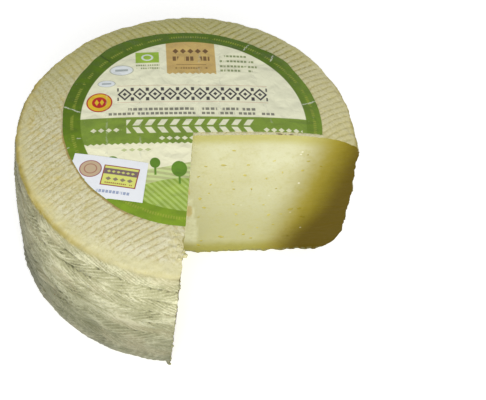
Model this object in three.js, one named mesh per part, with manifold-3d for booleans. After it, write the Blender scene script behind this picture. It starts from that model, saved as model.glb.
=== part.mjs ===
// A wheel of pressed ewe's-milk cheese with one quarter cut out of it.
// The origin is on the wheel's axis at its underside, +Z is up and the notch opens towards +X and -Y.
// All sizes are in millimetres and all angles in degrees, turning from +X towards +Y.

import * as THREE from 'three';
import { mergeVertices, mergeGeometries } from 'three/addons/utils/BufferGeometryUtils.js';
import Module from 'manifold-3d';

const wheel = {
  radius: 98,             // widest part of the side
  height: 107.6,          // at the middle of the domed top
  shoulderRadius: 95.6,   // where the top turns down into the side
  shoulderDrop: 13.5,     // how far the shoulder lies below the middle
  shoulderRound: 2.2,
  neckOut: 0.4,           // the side starts this far outside the shoulder's corner
  archStart: 0.1,         // the side bulges like this stretch of a half sine wave
  archSpan: 0.72,
  crownShare: 0.36,       // share of the top's fall that is a plain parabola
  crownPower: 6,          // the rest falls away steeply towards the shoulder
  topRings: [88, 79, 70, 52, 28],
  baseRadius: 82,         // flat face that the wheel rests on
  baseRound: 20,          // height over which the lower edge rounds in
  baseInset: 1.2,         // the rounded edge meets the side this far inside the widest part
  baseFullness: 0.9,      // below 1 the rounded edge is fuller than a quarter ellipse
  baseSteps: 5,
  baseShift: [-2.5, 1.3], // the underside sits a little off the axis
  swellOut: 2.8,          // the side and the shoulder stand out this much more on the far side
  swellTurn: 66,          // in this direction
  swellSpan: 62,          // and less and less up to this many degrees away from it
  swellStart: 89,         // the top moves with them outside this radius
  segments: 100,
};

const matBand = {         // rows that the plaited grass mould leaves round the side
  rows: 8,
  depth: 0.8,
  evenStrength: 0.65,     // share of the depth that every row has, the rest comes and goes
  patches: 5,             // how often it comes and goes in one turn
  rowOffset: 1.9,         // and how far that is turned from one row to the next
  waviness: 1.2,
  lift: 0.7,
};

const label = {           // round paper on the top
  radius: 72.2,
  thickness: 0.35,
  centre: [1.4, 3.6],
  rings: 6,
  ringPower: 0.7,         // crowds the rings towards the rim, where the dome is steeper
  segments: 64,
  setBack: 1.9,           // bare rind left between the paper and the back cut
};

const sticker = {         // small control paper stuck over the label's edge
  width: 40,
  depth: 26.6,
  thickness: 0.3,
  centre: [-38.8, -42.9],
  turn: -4.6,
  edgeMargin: 1.2,        // distance kept from the label's edge, along which it is trimmed
  cell: 5,
  rings: 3,
};

const notch = {
  apex: [2.9, -8.5],
  backTurn: 9.9,          // direction in which the back cut runs out from the apex
  frontTurn: -87.6,       // direction in which the front cut runs out from the apex
  frontLean: 2.2,         // the front cut slopes in under the rind
  leanReach: 5,           // corners this close to its line slope with it
  facetWidth: 13,         // second stroke of the knife beside the apex, at the base
  facetDepth: 0.8,
  facetTop: 60,           // height at which that stroke dies out
  facetStart: -3.5,       // it begins in the open air before the apex
  facetEnd: 0.02,         // depth left at its far end, so that it runs out softly
  facetNarrow: 0.15,      // share of its width left at the top
  facetThin: 0.05,        // depth left at the top
};

const flower = {          // grooves that the carved boards press into the top
  pitch: 3.75,
  depth: 0.55,
  width: 1.5,
  cutHeight: 1.2,         // height of the wedge that cuts a groove
  innerRadius: 69.5,
  outerRadius: 89.5,
  raggedness: 1.2,        // their outer ends are this uneven
  raggedTurn: 1.7,
  shortest: 4.9,          // shorter grooves are left out
  margin: 1.2,            // degrees kept free between two quarters
  walk: 0.5,              // step with which a groove's ends are looked for
  steps: 3,
  fields: [               // each quarter has grooves of one direction
    { from: -178, to: -92, turn: 37 },
    { from: -92, to: -40, turn: -52 },
    { from: 88, to: 182, turn: -54 },
    { from: -10, to: 88, turn: 50 },
  ],
};

const paperGap = 0.3;     // air kept between the cheese and each sheet of paper
const reach = 3 * wheel.radius;
const clear = 1;          // how far a cutting body starts outside what it cuts

const radians = THREE.MathUtils.degToRad;
const direction = (turn) => new THREE.Vector2(Math.cos(radians(turn)), Math.sin(radians(turn)));

// How far the domed top has fallen at a given distance from the axis.
function domeDrop(r) {
  const edge = wheel.shoulderRadius - wheel.shoulderRound;
  const full = wheel.shoulderDrop - wheel.shoulderRound / 2;
  const u = r / edge;
  return full * (wheel.crownShare * u ** 2 + (1 - wheel.crownShare) * u ** wheel.crownPower);
}

const topHeight = (x, y) => wheel.height - domeDrop(Math.hypot(x, y));

// Slow wandering of the side, the same after a full turn. It stays between about -1 and 1.
function wander(angle, z) {
  const t = angle;
  return (
    0.4 * Math.sin(3 * t + 0.021 * z + 0.6) +
    0.3 * Math.sin(7 * t - 0.05 * z + 2.1) +
    0.2 * Math.sin(13 * t + 0.09 * z) +
    0.1 * Math.sin(29 * t - 0.13 * z + 1.3)
  );
}

// Heights and radii of the wheel's outline, from the middle of the base up to the middle of the top.
function outline() {
  const points = [new THREE.Vector2(0, 0), new THREE.Vector2(wheel.baseRadius, 0)];
  const shoulderZ = wheel.height - wheel.shoulderDrop;
  const span = wheel.radius - wheel.baseInset - wheel.baseRadius;
  for (let i = 1; i <= wheel.baseSteps; i++) {
    const turn = ((i / wheel.baseSteps) * Math.PI) / 2;
    const r = wheel.baseRadius + span * Math.sin(turn) ** wheel.baseFullness;
    points.push(new THREE.Vector2(r, wheel.baseRound * (1 - Math.cos(turn))));
  }
  const low = wheel.baseRound;
  const high = shoulderZ - wheel.shoulderRound;
  const neck = wheel.shoulderRadius + wheel.neckOut;
  const rings = matBand.rows * 2;
  for (let i = 1; i <= rings; i++) {
    const s = i / rings;
    const bulge = Math.sin(Math.PI * (wheel.archStart + wheel.archSpan * s));
    points.push(new THREE.Vector2(neck + (wheel.radius - neck) * bulge, low + (high - low) * s));
  }
  points.push(new THREE.Vector2(wheel.shoulderRadius, shoulderZ));
  const topRadii = [wheel.shoulderRadius - wheel.shoulderRound, ...wheel.topRings];
  for (const r of topRadii) points.push(new THREE.Vector2(r, wheel.height - domeDrop(r)));
  points.push(new THREE.Vector2(0, wheel.height));
  return points;
}

// How far the side stands out in one direction, beyond the round outline.
function swell(angle) {
  const away = Math.abs(THREE.MathUtils.radToDeg(angle) - wheel.swellTurn);
  return wheel.swellOut * (1 - THREE.MathUtils.smoothstep(away, 0, wheel.swellSpan));
}

// Moves the points of the side in and out: every second ring is the valley between two mat rows.
// The shoulder only swells. The lower edge and the underside move over sideways as one.
function pressSide(geometry) {
  const position = geometry.attributes.position;
  const low = wheel.baseRound;
  const high = wheel.height - wheel.shoulderDrop - wheel.shoulderRound;
  const point = new THREE.Vector3();
  for (let i = 0; i < position.count; i++) {
    point.fromBufferAttribute(position, i);
    const r = Math.hypot(point.x, point.y);
    const angle = Math.atan2(point.y, point.x);
    if (point.z > high + clear) {
      const out = r > wheel.swellStart ? (r + swell(angle)) / r : 1;
      position.setXYZ(i, point.x * out, point.y * out, point.z);
      continue;
    }
    if (r < wheel.baseRadius - clear) continue;
    const row = ((point.z - low) / (high - low)) * matBand.rows;
    const inBand = THREE.MathUtils.smoothstep(point.z, 0, low);
    const patch = Math.sin(matBand.patches * angle + matBand.rowOffset * Math.floor(row));
    const strength = THREE.MathUtils.lerp(patch, 1, matBand.evenStrength);
    const press = matBand.depth * strength * Math.cos(Math.PI * row) ** 2;
    const wave = matBand.waviness * (1 - wander(angle, point.z)) / 2;
    const lift = matBand.lift * inBand * wander(angle + 2, point.z);
    const scale = (r + inBand * (swell(angle) - press - wave)) / r;
    const x = point.x * scale + wheel.baseShift[0] * (1 - inBand);
    const y = point.y * scale + wheel.baseShift[1] * (1 - inBand);
    position.setXYZ(i, x, y, point.z + lift);
  }
}

function bareGeometry(geometry) {
  const bare = geometry.clone();
  bare.deleteAttribute('normal');
  bare.deleteAttribute('uv');
  return mergeVertices(bare, 1e-4);
}

const wasm = await Module();
wasm.setup();

function toSolid(geometry) {
  const merged = bareGeometry(geometry);
  const index = merged.index.array;
  const triangles = [];
  for (let i = 0; i < index.length; i += 3) {
    const [a, b, c] = [index[i], index[i + 1], index[i + 2]];
    if (a !== b && b !== c && c !== a) triangles.push(a, b, c);
  }
  return new wasm.Manifold(new wasm.Mesh({
    numProp: 3,
    vertProperties: new Float32Array(merged.attributes.position.array),
    triVerts: new Uint32Array(triangles),
  }));
}

function toGeometry(solid) {
  const mesh = solid.getMesh();
  const geometry = new THREE.BufferGeometry();
  geometry.setAttribute('position', new THREE.BufferAttribute(mesh.vertProperties, 3));
  geometry.setIndex(new THREE.BufferAttribute(mesh.triVerts, 1));
  return geometry;
}

function wheelBody() {
  const geometry = new THREE.LatheGeometry(outline(), wheel.segments);
  geometry.rotateX(Math.PI / 2);
  pressSide(geometry);
  return toSolid(geometry);
}

// An upright prism over a flat outline, from well below the wheel to well above it.
function prism(corners, low = -20, high = wheel.height + 40) {
  const shape = new THREE.Shape(corners);
  const geometry = new THREE.ExtrudeGeometry(shape, { depth: high - low, bevelEnabled: false });
  geometry.translate(0, 0, low);
  return geometry;
}

// The missing quarter. setBack widens it on the side of the back cut, for the paper.
function quarter(setBack = 0) {
  const back = direction(notch.backTurn);
  const front = direction(notch.frontTurn);
  const across = new THREE.Vector2(-back.y, back.x);
  const apex = new THREE.Vector2(...notch.apex);
  const start = apex.clone().addScaledVector(across, setBack);
  const corners = [
    start,
    apex.clone().addScaledVector(front, reach),
    new THREE.Vector2(reach, -reach),
    start.clone().addScaledVector(back, reach),
  ];
  const geometry = prism(corners);
  leanFrontCut(geometry, front);
  return toSolid(geometry);
}

// Slopes the front cut: below the top, the points on it move in under the rind.
function leanFrontCut(geometry, front) {
  const position = geometry.attributes.position;
  const side = new THREE.Vector2(front.y, -front.x);
  for (let i = 0; i < position.count; i++) {
    const x = position.getX(i) - notch.apex[0];
    const y = position.getY(i) - notch.apex[1];
    const aside = x * side.x + y * side.y;
    const behind = x * front.x + y * front.y;
    if (Math.abs(aside) > notch.leanReach || behind < -notch.leanReach) continue;
    const shift = (wheel.height - position.getZ(i)) * Math.tan(radians(notch.frontLean));
    position.setX(i, position.getX(i) + side.x * shift);
    position.setY(i, position.getY(i) + side.y * shift);
  }
}

// The knife's second stroke leaves a long narrow facet that widens towards the base.
function knifeFacet() {
  const back = direction(notch.backTurn);
  const across = new THREE.Vector2(-back.y, back.x);
  const apex = new THREE.Vector2(...notch.apex);
  const high = notch.facetTop;
  const start = notch.facetStart;
  const corners = [
    apex.clone().addScaledVector(back, start).addScaledVector(across, -clear),
    apex.clone().addScaledVector(back, notch.facetWidth).addScaledVector(across, -clear),
    apex.clone().addScaledVector(back, notch.facetWidth).addScaledVector(across, notch.facetEnd),
    apex.clone().addScaledVector(back, start).addScaledVector(across, notch.facetDepth),
  ];
  const geometry = prism(corners, -clear, high);
  const position = geometry.attributes.position;
  for (let i = 0; i < position.count; i++) {
    if (position.getZ(i) < high - clear) continue;
    const x = position.getX(i) - apex.x;
    const y = position.getY(i) - apex.y;
    const along = x * back.x + y * back.y;
    const outward = x * across.x + y * across.y;
    const narrowed = along > 0 ? along * notch.facetNarrow : along;
    const raised = Math.min(outward, notch.facetThin);
    position.setX(i, apex.x + back.x * narrowed + across.x * raised);
    position.setY(i, apex.y + back.y * narrowed + across.y * raised);
  }
  return toSolid(geometry);
}

// A groove's path lies under the rind and comes up out of it at both ends.
class GroovePath extends THREE.Curve {
  constructor(start, end) {
    super();
    this.start = start;
    this.end = end;
  }

  getPoint(t, target = new THREE.Vector3()) {
    const x = THREE.MathUtils.lerp(this.start.x, this.end.x, t);
    const y = THREE.MathUtils.lerp(this.start.y, this.end.y, t);
    const depth = flower.depth * Math.min(1, 4 * Math.min(t, 1 - t));
    return target.set(x, y, topHeight(x, y) - depth);
  }
}

const inField = (field, point) => {
  const angle = THREE.MathUtils.radToDeg(Math.atan2(point.y, point.x));
  return [angle, angle + 360].some((a) => a > field.from + flower.margin && a < field.to - flower.margin);
};

// The stretches of one straight line that lie in the field's part of the bare ring.
function stretches(field, along, offset) {
  const normal = new THREE.Vector2(-along.y, along.x);
  const found = [];
  let start = null;
  let last = null;
  const ragged = flower.raggedness * Math.sin(offset * flower.raggedTurn);
  for (let s = -wheel.radius; s <= wheel.radius; s += flower.walk) {
    const point = new THREE.Vector2().addScaledVector(along, s).addScaledVector(normal, offset);
    const r = point.length();
    const inside = r > flower.innerRadius && r < flower.outerRadius + ragged && inField(field, point);
    if (inside && !start) start = point;
    if (inside) last = point;
    if (!inside && start) {
      if (start.distanceTo(last) > flower.shortest) found.push([start, last]);
      start = null;
    }
  }
  return found;
}

function grooves(field) {
  const along = direction(field.turn);
  const section = new THREE.Shape([
    new THREE.Vector2(0, 0),
    new THREE.Vector2(-flower.cutHeight, -flower.width),
    new THREE.Vector2(-flower.cutHeight, flower.width),
  ]);
  const bars = [];
  const count = Math.ceil(wheel.radius / flower.pitch);
  for (let k = -count; k <= count; k++) {
    for (const [start, end] of stretches(field, along, (k + 0.5) * flower.pitch)) {
      const extrudePath = new GroovePath(start, end);
      bars.push(new THREE.ExtrudeGeometry(section, { steps: flower.steps, extrudePath }));
    }
  }
  return toSolid(mergeGeometries(bars));
}

// A closed sheet over the dome: the same flat grid twice, and a rim between them.
function domedSheet(outlinePoint, rings, segments, centre, lift, thickness) {
  const positions = [];
  const index = [];
  const layer = 1 + rings * segments;
  for (const z of [lift, lift + thickness]) {
    positions.push(centre.x, centre.y, topHeight(centre.x, centre.y) + z);
    for (let i = 1; i <= rings; i++) {
      for (let j = 0; j < segments; j++) {
        const rim = outlinePoint(j / segments);
        const outward = (i / rings) ** label.ringPower;
        const x = THREE.MathUtils.lerp(centre.x, rim.x, outward);
        const y = THREE.MathUtils.lerp(centre.y, rim.y, outward);
        positions.push(x, y, topHeight(x, y) + z);
      }
    }
  }
  const at = (side, i, j) => side * layer + (i === 0 ? 0 : 1 + (i - 1) * segments + (j % segments));
  const face = (side, a, b, c) => (side ? index.push(a, b, c) : index.push(a, c, b));
  for (const side of [0, 1]) {
    for (let j = 0; j < segments; j++) {
      face(side, at(side, 0, 0), at(side, 1, j), at(side, 1, j + 1));
      for (let i = 1; i < rings; i++) {
        face(side, at(side, i, j), at(side, i + 1, j), at(side, i + 1, j + 1));
        face(side, at(side, i, j), at(side, i + 1, j + 1), at(side, i, j + 1));
      }
    }
  }
  for (let j = 0; j < segments; j++) {
    const [a, b] = [at(0, rings, j), at(0, rings, j + 1)];
    const [c, d] = [at(1, rings, j), at(1, rings, j + 1)];
    index.push(a, b, d, a, d, c);
  }
  const geometry = new THREE.BufferGeometry();
  geometry.setAttribute('position', new THREE.Float32BufferAttribute(positions, 3));
  geometry.setIndex(index);
  return geometry;
}

function topLabel() {
  const centre = new THREE.Vector2(...label.centre);
  const rim = (t) => centre.clone().addScaledVector(direction(360 * t), label.radius);
  const sheet = domedSheet(rim, label.rings, label.segments, centre, paperGap, label.thickness);
  return toGeometry(toSolid(sheet).subtract(quarter(label.setBack)));
}

// The sticker is a turned rectangle that follows the label's round edge at its outer corner.
function controlLabel() {
  const centre = new THREE.Vector2(...sticker.centre);
  const across = direction(sticker.turn);
  const upward = direction(sticker.turn + 90);
  const labelCentre = new THREE.Vector2(...label.centre);
  const limit = label.radius - sticker.edgeMargin;
  const columns = Math.round(sticker.width / sticker.cell);
  const rows = Math.round(sticker.depth / sticker.cell);
  const sides = 2 * (columns + rows);
  const rim = (t) => {
    let k = Math.round(t * sides);
    let u = -0.5;
    let v = -0.5;
    if (k < columns) u += k / columns;
    else if ((k -= columns) < rows) [u, v] = [0.5, v + k / rows];
    else if ((k -= rows) < columns) [u, v] = [0.5 - k / columns, 0.5];
    else v = 0.5 - (k - columns) / rows;
    const corner = centre.clone()
      .addScaledVector(across, u * sticker.width)
      .addScaledVector(upward, v * sticker.depth);
    const offset = corner.clone().sub(labelCentre);
    return offset.length() > limit ? labelCentre.clone().addScaledVector(offset.normalize(), limit) : corner;
  };
  const lift = 2 * paperGap + label.thickness;
  return domedSheet(rim, sticker.rings, sides, centre, lift, sticker.thickness);
}

function cheeseWheel() {
  let solid = wheelBody();
  for (const field of flower.fields) solid = solid.subtract(grooves(field));
  return toGeometry(solid.subtract(quarter()).subtract(knifeFacet()));
}

function named(name, geometry, color, roughness) {
  const material = new THREE.MeshStandardMaterial({ color, roughness, metalness: 0, flatShading: true });
  const mesh = new THREE.Mesh(geometry, material);
  mesh.name = name;
  return mesh;
}

const cheese = new THREE.Group();
cheese.add(named('cheese_wheel', cheeseWheel(), '#cfc58f', 0.6));
cheese.add(named('top_label', topLabel(), '#dcd9ab', 0.55));
cheese.add(named('control_label', controlLabel(), '#e6e8ea', 0.5));

export default cheese;
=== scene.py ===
import math

import bmesh
import bpy
from mathutils import Matrix, Vector, noise


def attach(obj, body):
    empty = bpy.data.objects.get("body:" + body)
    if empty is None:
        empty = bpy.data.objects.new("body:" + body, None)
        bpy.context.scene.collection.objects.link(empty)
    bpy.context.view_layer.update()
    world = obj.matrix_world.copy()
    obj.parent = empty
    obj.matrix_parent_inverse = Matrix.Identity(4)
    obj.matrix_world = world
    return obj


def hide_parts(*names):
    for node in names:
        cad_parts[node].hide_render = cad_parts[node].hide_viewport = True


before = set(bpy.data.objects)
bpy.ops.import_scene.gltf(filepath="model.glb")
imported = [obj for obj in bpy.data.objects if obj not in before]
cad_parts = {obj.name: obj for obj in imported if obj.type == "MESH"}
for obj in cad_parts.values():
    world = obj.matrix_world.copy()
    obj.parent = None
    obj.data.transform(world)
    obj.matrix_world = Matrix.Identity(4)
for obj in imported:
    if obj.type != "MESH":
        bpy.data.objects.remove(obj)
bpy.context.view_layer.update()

scene = bpy.context.scene
mm = 0.001


# small helpers

def rgb(red, green, blue):
    # screen colour 0..255 to the linear value that shaders take
    linear = [((c / 255 + 0.055) / 1.055) ** 2.4 if c > 10 else c / 3294 for c in (red, green, blue)]
    return (*linear, 1.0)


def direction(turn):
    return Vector((math.cos(math.radians(turn)), math.sin(math.radians(turn)), 0))


def smooth(value, low, high):
    t = (value - low) / (high - low)
    t = min(1.0, max(0.0, t))
    return t * t * (3 - 2 * t)


def wobble(*place):
    # smooth noise, about -1 to 1, at a place
    return noise.noise(Vector(place))


def newObject(name, bm, materials):
    mesh = bpy.data.meshes.new(name)
    bm.to_mesh(mesh)
    bm.free()
    for material in materials:
        mesh.materials.append(material)
    piece = bpy.data.objects.new(name, mesh)
    scene.collection.objects.link(piece)
    for polygon in mesh.polygons:
        polygon.use_smooth = True
    return piece


# node helpers: each adds one node and gives back its output socket

def feed(tree, socket, value):
    if isinstance(value, bpy.types.NodeSocket):
        tree.links.new(value, socket)
    elif value is not None:
        socket.default_value = value


def calc(tree, operation, *values):
    node = tree.nodes.new("ShaderNodeMath")
    node.operation = operation
    for socket, value in zip(node.inputs, values):
        feed(tree, socket, value)
    return node.outputs[0]


def plus(tree, first, second):
    return calc(tree, "ADD", first, second)


def minus(tree, first, second):
    return calc(tree, "SUBTRACT", first, second)


def times(tree, first, second):
    return calc(tree, "MULTIPLY", first, second)


def timesPlus(tree, value, factor, added):
    return calc(tree, "MULTIPLY_ADD", value, factor, added)


def over(tree, first, second):
    return calc(tree, "DIVIDE", first, second)


def sizeOf(tree, value):
    # the value without its sign
    return calc(tree, "ABSOLUTE", value)


def step(tree, value, low, high, toLow=0.0, toHigh=1.0):
    node = tree.nodes.new("ShaderNodeMapRange")
    node.interpolation_type = "SMOOTHSTEP"
    for socket, given in zip(node.inputs, (value, low, high, toLow, toHigh)):
        feed(tree, socket, given)
    return node.outputs[0]


def mix(tree, factor, first, second, blend="MIX"):
    node = tree.nodes.new("ShaderNodeMix")
    node.data_type = "RGBA"
    node.blend_type = blend
    feed(tree, node.inputs[0], factor)
    feed(tree, node.inputs[6], first)
    feed(tree, node.inputs[7], second)
    return node.outputs[2]


def stretch(tree, vector, scale, place=(0, 0, 0)):
    node = tree.nodes.new("ShaderNodeMapping")
    feed(tree, node.inputs["Vector"], vector)
    node.inputs["Location"].default_value = place
    node.inputs["Scale"].default_value = scale
    return node.outputs[0]


def cloud(tree, vector, size, detail=2.0, rough=0.5, bend=0.0):
    # size is how wide one patch is, in the vector's own unit
    node = tree.nodes.new("ShaderNodeTexNoise")
    feed(tree, node.inputs["Vector"], vector)
    node.inputs["Scale"].default_value = 1 / size
    node.inputs["Detail"].default_value = detail
    node.inputs["Roughness"].default_value = rough
    node.inputs["Distortion"].default_value = bend
    return node.outputs[0]


def spots(tree, vector, size):
    node = tree.nodes.new("ShaderNodeTexVoronoi")
    feed(tree, node.inputs["Vector"], vector)
    node.inputs["Scale"].default_value = 1 / size
    return node.outputs["Distance"]


def crumple(tree, vector, size, bend):
    # how far from the nearest fold of crumpled paper, up to 1
    shift = tree.nodes.new("ShaderNodeTexNoise")
    feed(tree, shift.inputs["Vector"], vector)
    shift.inputs["Scale"].default_value = 0.7 / size
    moved = tree.nodes.new("ShaderNodeVectorMath")
    moved.operation = "MULTIPLY_ADD"
    feed(tree, moved.inputs[0], shift.outputs["Color"])
    moved.inputs[1].default_value = (bend, bend, bend)
    feed(tree, moved.inputs[2], vector)
    node = tree.nodes.new("ShaderNodeTexVoronoi")
    node.feature = "DISTANCE_TO_EDGE"
    feed(tree, node.inputs["Vector"], moved.outputs[0])
    node.inputs["Scale"].default_value = 1 / size
    return step(tree, node.outputs["Distance"], 0.0, 0.35)


def parts(tree, vector):
    node = tree.nodes.new("ShaderNodeSeparateXYZ")
    feed(tree, node.inputs[0], vector)
    return node.outputs[0], node.outputs[1], node.outputs[2]


def repeated(tree, p, width, start=0.0):
    # place inside one repeat, from -0.5 to 0.5
    return minus(tree, calc(tree, "FRACT", over(tree, minus(tree, p, start), width)), 0.5)


def oval(tree, p, q, centre, half):
    # 1 on the rim, less inside
    a = over(tree, minus(tree, p, centre[0]), half[0])
    b = over(tree, minus(tree, q, centre[1]), half[1])
    return calc(tree, "SQRT", plus(tree, times(tree, a, a), times(tree, b, b)))


def ownNumber(tree, name):
    node = tree.nodes.new("ShaderNodeAttribute")
    node.attribute_name = name
    return node.outputs["Fac"]


def ownMap(tree, name):
    node = tree.nodes.new("ShaderNodeUVMap")
    node.uv_map = name
    return node.outputs[0]


def millimetres(tree):
    coords = tree.nodes.new("ShaderNodeTexCoord")
    return stretch(tree, coords.outputs["Object"], (1000, 1000, 1000))


def relief(tree, height, strength, distance, base=None):
    node = tree.nodes.new("ShaderNodeBump")
    node.inputs["Strength"].default_value = strength
    node.inputs["Distance"].default_value = distance
    feed(tree, node.inputs["Height"], height)
    if base is not None:
        feed(tree, node.inputs["Normal"], base)
    return node.outputs[0]


def newMaterial(name, roughness, specular=0.4):
    material = bpy.data.materials.new(name)
    material.use_nodes = True
    tree = material.node_tree
    tree.nodes.clear()
    shader = tree.nodes.new("ShaderNodeBsdfPrincipled")
    output = tree.nodes.new("ShaderNodeOutputMaterial")
    tree.links.new(shader.outputs[0], output.inputs[0])
    shader.inputs["Roughness"].default_value = roughness
    shader.inputs["Specular IOR Level"].default_value = specular
    return material, tree, shader


# camera, at the angle of the photograph

cameraView = {
    "place": (0.0339, -0.5365, 0.7143),
    "tilt": 38.72,
    "roll": 6.04,
    "lens": 108.67,
    "sensor": 36,
}


def makeCamera(view):
    data = bpy.data.cameras.new("camera")
    data.lens = view["lens"]
    data.sensor_width = view["sensor"]
    data.clip_start = 0.01
    camera = bpy.data.objects.new("camera", data)
    tilt = Matrix.Rotation(math.radians(view["tilt"]), 4, "X")
    roll = Matrix.Rotation(math.radians(view["roll"]), 4, "Z")
    camera.matrix_world = Matrix.Translation(view["place"]) @ tilt @ roll
    scene.collection.objects.link(camera)
    scene.camera = camera


makeCamera(cameraView)
print("camera ready")


# the wheel's body: one outline spun round, then its top and side pressed and worn

wheelShape = {
    "radius": 98,
    "height": 107.6,
    "shoulderRadius": 95.6,
    "shoulderDrop": 13.5,
    "shoulderRound": 2.2,
    "baseRadius": 82,
    "baseRound": 20,
    "baseShift": (-2.5, 1.3),
    # the side and the shoulder stand out or in by this much, turning round from +X
    "swell": [
        (-180, 0), (0, -0.6), (11, -0.6), (22, 1.2), (36, 1.4), (48, 2.2), (58, 2.9), (77, 3.0), (86, 2.3),
        (95, 2.2), (102, 1.6), (109, 0), (117, -0.8), (130, -0.6), (138, 0), (180, 0),
    ],
    "turnSteps": 690,
    "sideRings": 88,
    "faceRings": 38,
}

furrows = {
    "pitch": 3.75,
    "depth": 0.3,
    "halfWidth": 0.9,
    "crossPitch": 2.3,
    "crossDepth": 0.13,
    # where each quarter starts and ends, which way its furrows run and how that changes across them, how far
    # out they reach, how strong they are and how cross-hatched
    "quarters": [
        {"from": -178, "to": -92, "turn": 37.5, "pitch": 4.05, "squeeze": -0.0009, "fan": -0.0015,
         "reach": 89.5, "strength": 0.64, "hatch": 0.15},
        {"from": -92, "to": -25, "turn": -52, "pitch": 3.75, "squeeze": 0, "fan": 0,
         "reach": 88.5, "strength": 0.5, "hatch": 0.3},
        {"from": -25, "to": 88, "turn": 53.3, "pitch": 3.45, "squeeze": -0.0008, "fan": -0.0014,
         "reach": 93.5, "strength": 0.8, "hatch": 0.4},
        {"from": 88, "to": 182, "turn": -53, "pitch": 4.38, "squeeze": 0, "fan": -0.0016,
         "reach": 92.5, "strength": 0.6, "hatch": 0.6},
    ],
    "leftReach": 3.5,
}

plait = {
    "rowHeight": 10.5,
    "strokePitch": 2.1,
    "strokeTurn": 28,
    "strokeDepth": 0.34,
    "rowDepth": 0.9,
    "foldDepth": 0.6,
    "creaseDepth": 0.5,
    "fineDepth": 0.3,
    "lumpDepth": 0.8,
    # a point left at the foot of the front cut, and how far the edge beside it lies in
    "spur": {"angle": -87.4, "width": 3.2, "out": 3.9, "height": 11, "beside": 2.0},
}

paper = {
    "radius": 71.6,
    "centre": (1.4, 3.6),
    "turn": 8.3,
    "lift": 0.14,
    "thickness": 0.24,
    "edgeWander": 0.25,
    # the paper's edge stands out or in by this much, turning round from +X
    "edge": [
        (0, 1.0), (42, 1.0), (49, 2.6), (56, 1.9), (64, 0.3), (80, -0.3), (104, -0.9), (114, 0.2), (128, 2.0),
        (136, 2.7), (144, 1.6), (154, 0.6), (176, 0.4), (186, -0.1), (210, -0.1), (232, 0.5), (246, 1.1),
        (360, 1.3),
    ],
    "setBack": 1.9,
}

notchCut = {
    "apex": (2.9, -8.5),
    "backTurn": 9.9,
    "frontTurn": -87.6,
    "frontLean": 2.2,
    "facetWidth": 6.5,
    "facetDepth": 0.8,
    "facetTop": 62,
    "facetFull": 22,
    "footBurr": 1.0,
    "reach": 130,
    "cuts": 90,
}


def readTable(table, turn):
    for (start, low), (end, high) in zip(table, table[1:]):
        if start <= turn <= end:
            return low + (high - low) * smooth(turn, start, end)
    return 0.0


def swellAt(angle):
    return readTable(wheelShape["swell"], math.degrees(math.atan2(math.sin(angle), math.cos(angle))))


def domeDrop(r):
    full = wheelShape["shoulderDrop"] - wheelShape["shoulderRound"] / 2
    u = r / (wheelShape["shoulderRadius"] - wheelShape["shoulderRound"])
    return full * (0.36 * u ** 2 + 0.64 * u ** 6)


def wheelOutline():
    shape = wheelShape
    points = [(0, 0), (45, 0), (75, 0), (shape["baseRadius"], 0)]
    sideLow = shape["baseRound"]
    sideHigh = shape["height"] - shape["shoulderDrop"] - 3.6
    widest = shape["radius"]
    narrow = shape["shoulderRadius"] + 0.4
    for i in range(1, 10):
        s = math.pi / 2 * i / 9
        out = (widest - 1.2 - shape["baseRadius"]) * math.sin(s) ** 0.9
        points.append((shape["baseRadius"] + out, sideLow * (1 - math.cos(s))))
    for i in range(1, shape["sideRings"] + 1):
        s = i / shape["sideRings"]
        bulge = math.sin(math.pi * (0.1 + 0.72 * s))
        points.append((narrow + (widest - narrow) * bulge, sideLow + (sideHigh - sideLow) * s))
    start = Vector(points[-1])
    end = Vector((92.4, shape["height"] - domeDrop(92.4)))
    corner = Vector((96.3, end.y - 1.9))
    for i in range(1, 9):
        s = i / 8
        points.append(tuple((1 - s) ** 2 * start + 2 * s * (1 - s) * corner + s * s * end))
    for i in range(1, shape["faceRings"] + 1):
        r = 92.4 - 24 * i / shape["faceRings"]
        points.append((r, shape["height"] - domeDrop(r)))
    for r in (66, 58, 42, 22, 0):
        points.append((r, shape["height"] - domeDrop(r)))
    return points


def quarterAt(angle):
    for quarter in furrows["quarters"]:
        if quarter["from"] <= angle < quarter["to"] or quarter["from"] <= angle + 360 < quarter["to"]:
            return quarter
    return furrows["quarters"][0]


def furrowFade(quarter, x, y):
    # full strength inside the radius where the furrows end, which is further out on the left
    end = quarter["reach"] + furrows["leftReach"] * smooth(x, -50, -88)
    fade = smooth(math.hypot(x, y), end + 2, end - 2.5) * (1 - 0.9 * crumblyAt(x, y))
    front = smooth(x, -50, -20) * smooth(y, -50, -70)
    return fade * (1 + 0.4 * front + 0.65 * smooth(y, 42, 72))


def furrowPlace(x, y, quarter):
    # how many furrows across, and how far along
    way = direction(quarter["turn"])
    across = -x * way.y + y * way.x
    along = x * way.x + y * way.y
    bent = across * (1 + quarter["squeeze"] * across + quarter["fan"] * along)
    bent += 0.9 * wobble(x / 19, y / 19, quarter["turn"])
    bent += 0.25 * wobble(x / 5, y / 5, quarter["turn"])
    return bent / quarter["pitch"] - 0.5, along


def paperDistance(x, y):
    # how far outside the paper's edge a place is
    x, y = x - paper["centre"][0], y - paper["centre"][1]
    out = readTable(paper["edge"], math.degrees(math.atan2(y, x)) % 360)
    out += paper["edgeWander"] * wobble(x / 11, y / 11, 23)
    return math.hypot(x, y) - paper["radius"] - out


def crumblyAt(x, y):
    # 1 on the crumbly patch of the rind beside the front cut
    beside = x + 1.5 - 0.3 * (-72 - y)
    return smooth(beside, -6, -1.5) * smooth(y, -69, -76) * smooth(math.hypot(x, y), 91, 87)


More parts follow.
